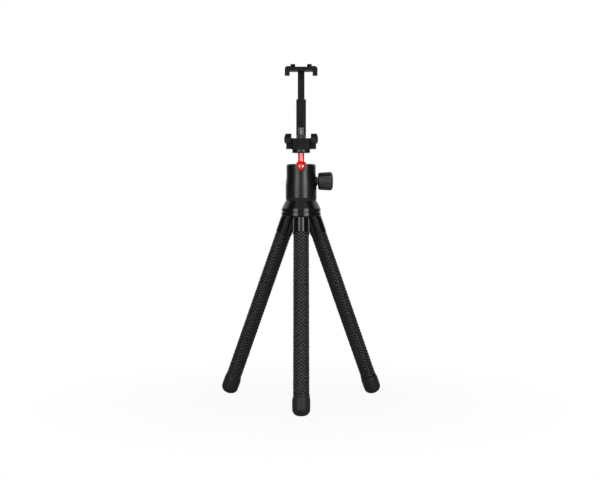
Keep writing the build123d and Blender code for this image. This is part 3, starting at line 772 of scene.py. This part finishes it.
def make_foot(side, leg):
    """A leg's rubber boot, with its sole cut flat at the floor."""
    mesh = bmesh.new()
    rings = [[mesh.verts.new(point) for point in foot_ring(*spot)] for spot in foot_profile()]
    for first, second in zip(rings, rings[1:]):
        for step in range(FOOT_STEPS):
            after = (step + 1) % FOOT_STEPS
            if len(first) == 1:
                corners = (first[0], second[step], second[after])
            elif len(second) == 1:
                corners = (first[step], second[0], first[after])
            else:
                corners = (first[step], second[step], second[after], first[after])
            mesh.faces.new(corners)
    bmesh.ops.transform(mesh, matrix=leg.frame_at(FOOT_TOP), verts=mesh.verts)
    for vertex in mesh.verts:
        vertex.co.z = max(vertex.co.z, 0.0)
    bmesh.ops.recalc_face_normals(mesh, faces=mesh.faces)
    for face in mesh.faces:
        face.smooth = True
    boot = add_solid(side + "_boot", mesh, foot_rubber)
    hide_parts(side + "_foot")
    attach(boot, side + "_lower")


for side in SIDES:
    leg_line = Leg(side)
    make_leg_tubes(side, leg_line)
    make_foot(side, leg_line)


# The stud's thread, a quarter inch with 20 turns to the inch
THREAD_PITCH = 1.27 * MM
THREAD_DEPTH = 0.62 * MM
THREAD_CHAMFER = 0.9 * MM

stud_low, stud_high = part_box("stud")
thread = grow(
    THREADED_POST, "stud_thread", Matrix.Translation((stud_low + stud_high) / 2),
    Length=stud_high.z - stud_low.z, Radius=(stud_high.x - stud_low.x) / 2, Pitch=THREAD_PITCH,
    Depth=THREAD_DEPTH, Chamfer=THREAD_CHAMFER, Finish=bright_steel,
)
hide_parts("stud")
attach(thread, "ball")


# The pull spring, which on the real clamp stretches as the upper jaw slides; this coil is made once, at rest
SPRING_WIRE = 0.3 * MM
SPRING_TURNS = 16.0

spring_low, spring_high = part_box("pull_spring")
spring_x = (spring_low.x + spring_high.x) / 2
spring_y = (spring_low.y + spring_high.y) / 2
spring_foot = Vector((spring_x, spring_y, spring_low.z))
coil = grow(
    COIL_SPRING, "pull_coil", Matrix.Translation(spring_foot + Vector((0.0, 0.0, SPRING_WIRE))),
    Length=spring_high.z - spring_low.z - 2 * SPRING_WIRE,
    Radius=(spring_high.x - spring_low.x) / 2 - SPRING_WIRE,
    Wire_Radius=SPRING_WIRE, Turns=SPRING_TURNS, Finish=plated_steel,
)
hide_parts("pull_spring")
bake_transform(coil)


# The thin friction washer that the head turns on, in the running gap above the crown's cover
WASHER_RADIUS = 15.4 * MM
WASHER_PLAY = 0.03 * MM
WASHER_STEPS = 96


def make_washer():
    """A flat dark disc between the cover's top and the barrel's foot."""
    cover_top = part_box("crown_cover")[1].z
    barrel_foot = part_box("barrel")[0].z
    mesh = bmesh.new()
    bmesh.ops.create_cone(
        mesh, cap_ends=True, segments=WASHER_STEPS, radius1=WASHER_RADIUS,
        radius2=WASHER_RADIUS, depth=barrel_foot - cover_top - 2 * WASHER_PLAY,
    )
    middle = Vector(joints["head_pan"]["pos_m"])
    middle.z = (cover_top + barrel_foot) / 2
    bmesh.ops.translate(mesh, vec=middle, verts=mesh.verts)
    washer = add_solid("pan_washer", mesh, plug_black)
    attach(washer, "crown")


make_washer()


# Floor, room, lights and camera

TRIPOD_AXIS = Vector(joints["head_pan"]["pos_m"])


def camera_rays(tree):
    """A mask of the rays that the camera sees, also through something clear."""
    rays = add_node(tree, "ShaderNodeLightPath").outputs
    return calc(tree, "MAXIMUM", rays["Is Camera Ray"], rays["Is Transmission Ray"])


def end_with_mix(tree, output_kind, share, first, second):
    """Ends a tree with a mix of two shaders."""
    mix = add_node(tree, "ShaderNodeMixShader")
    for index, source in enumerate((share, first.outputs[0], second.outputs[0])):
        tree.links.new(source, mix.inputs[index])
    feed(tree, add_node(tree, output_kind), Surface=mix.outputs[0])


# The floor's half side and tone, and how white the camera sees it near the axis and from where on
# it is plain white
FLOOR_HALF = 4.0
FLOOR_GREY = (0.5, 0.5, 0.5, 1.0)
NEAR_WHITE = 0.94
FADE_START = 0.08
FADE_END = 0.3


def make_floor():
    """A grey floor that the camera sees as white, with a faint shadow near the feet."""
    mesh = bpy.data.meshes.new("floor")
    square = ((-1, -1), (1, -1), (1, 1), (-1, 1))
    corners = [(x * FLOOR_HALF, y * FLOOR_HALF + TRIPOD_AXIS.y, 0) for x, y in square]
    mesh.from_pydata(corners, [], [(0, 1, 2, 3)])
    floor = add_object("floor", mesh)
    material = bpy.data.materials.new("pale_floor")
    material.use_nodes = True
    tree = material.node_tree
    tree.nodes.clear()
    matte = add_node(tree, "ShaderNodeBsdfDiffuse", in_Color=FLOOR_GREY)
    plain = add_node(tree, "ShaderNodeEmission", in_Color=WHITE, in_Strength=1.0)
    away = distance_from(tree, (0.0, TRIPOD_AXIS.y, 0.0))
    fade = ramp(tree, away, FADE_START, FADE_END, NEAR_WHITE, 1.0)
    shown = calc(tree, "MULTIPLY", camera_rays(tree), fade)
    end_with_mix(tree, "ShaderNodeOutputMaterial", shown, matte, plain)
    mesh.materials.append(material)


# The room that the object reflects, by direction, with Y to the back and Z up: the backdrop
# starts and stops over these spans, and the upper front is lit over the last one
ROOM_DARK = 0.035
BACKDROP_SPAN = (0.58, 0.84)
BACKDROP_LIGHT = 0.95
CEILING_SPAN = (0.5, 0.8)
FRONT_LEAN = 0.6
FRONT_SPAN = (0.8, 0.97)
FRONT_LIGHT = 0.35


def make_world():
    """White to the camera; to the object, a white backdrop behind it and a dimmer room in front."""
    world = bpy.data.worlds.new("studio")
    bpy.context.scene.world = world
    world.use_nodes = True
    tree = world.node_tree
    tree.nodes.clear()
    white = add_node(tree, "ShaderNodeBackground", in_Color=WHITE, in_Strength=1.0)
    room = add_node(tree, "ShaderNodeBackground", in_Strength=1.0)
    direction = add_node(tree, "ShaderNodeTexCoord").outputs["Generated"]
    _, back, up = feed(tree, add_node(tree, "ShaderNodeSeparateXYZ"), Vector=direction).outputs
    upper_back = calc(tree, "ADD", back, up)
    behind = ramp(tree, upper_back, *BACKDROP_SPAN, 0.0, BACKDROP_LIGHT, curve="SMOOTHSTEP")
    below_ceiling = ramp(tree, up, *CEILING_SPAN, 1.0, 0.0, curve="SMOOTHSTEP")
    backdrop = calc(tree, "MULTIPLY", behind, below_ceiling)
    upper_front = calc(tree, "SUBTRACT", calc(tree, "MULTIPLY", up, FRONT_LEAN), back)
    front = ramp(tree, upper_front, *FRONT_SPAN, ROOM_DARK, FRONT_LIGHT, curve="SMOOTHSTEP")
    level = calc(tree, "MAXIMUM", backdrop, front)
    tone = feed(tree, add_node(tree, "ShaderNodeCombineColor"), Red=level, Green=level, Blue=level)
    tree.links.new(tone.outputs[0], room.inputs["Color"])
    end_with_mix(tree, "ShaderNodeOutputWorld", camera_rays(tree), room, white)


# Two tall softboxes, level with the middle of their height and facing the tripod's axis
SOFTBOX_HEIGHT = 0.85
SOFTBOX_DISTANCE = 1.5
SOFTBOX_WIDTH = 0.66
SOFTBOX_TALL = 1.7


def make_softbox(name, azimuth, power):
    """A softbox at an azimuth in degrees, to the right of the camera's side as seen from above."""
    data = bpy.data.lights.new(name, "AREA")
    data.shape = "RECTANGLE"
    data.size = SOFTBOX_WIDTH
    data.size_y = SOFTBOX_TALL
    data.energy = power
    light = add_object(name, data)
    turn = math.radians(azimuth)
    target = Vector((0.0, TRIPOD_AXIS.y, SOFTBOX_HEIGHT))
    spot = target + SOFTBOX_DISTANCE * Vector((math.sin(turn), -math.cos(turn), 0.0))
    light.location = spot
    light.rotation_euler = (target - spot).to_track_quat("-Z", "Y").to_euler()


make_floor()
make_world()
make_softbox("left_softbox", -32.0, 11.8)
make_softbox("right_softbox", 31.0, 14.6)

# The photograph's camera, placed by the object's scale in it
CAMERA_LENS = 73.56
CAMERA_SENSOR = 36.0
CAMERA_SIDE = -1.2 * MM
CAMERA_DISTANCE = 1.3
CAMERA_HEIGHT = 0.2347
CAMERA_TILT = 87.2

camera_data = bpy.data.cameras.new("photo_camera")
camera_data.lens = CAMERA_LENS
camera_data.sensor_width = CAMERA_SENSOR
camera = add_object("photo_camera", camera_data)
camera.location = (CAMERA_SIDE, TRIPOD_AXIS.y - CAMERA_DISTANCE, CAMERA_HEIGHT)
camera.rotation_euler = (math.radians(CAMERA_TILT), 0.0, 0.0)
bpy.context.scene.camera = camera
bpy.context.scene.view_settings.view_transform = "Standard"
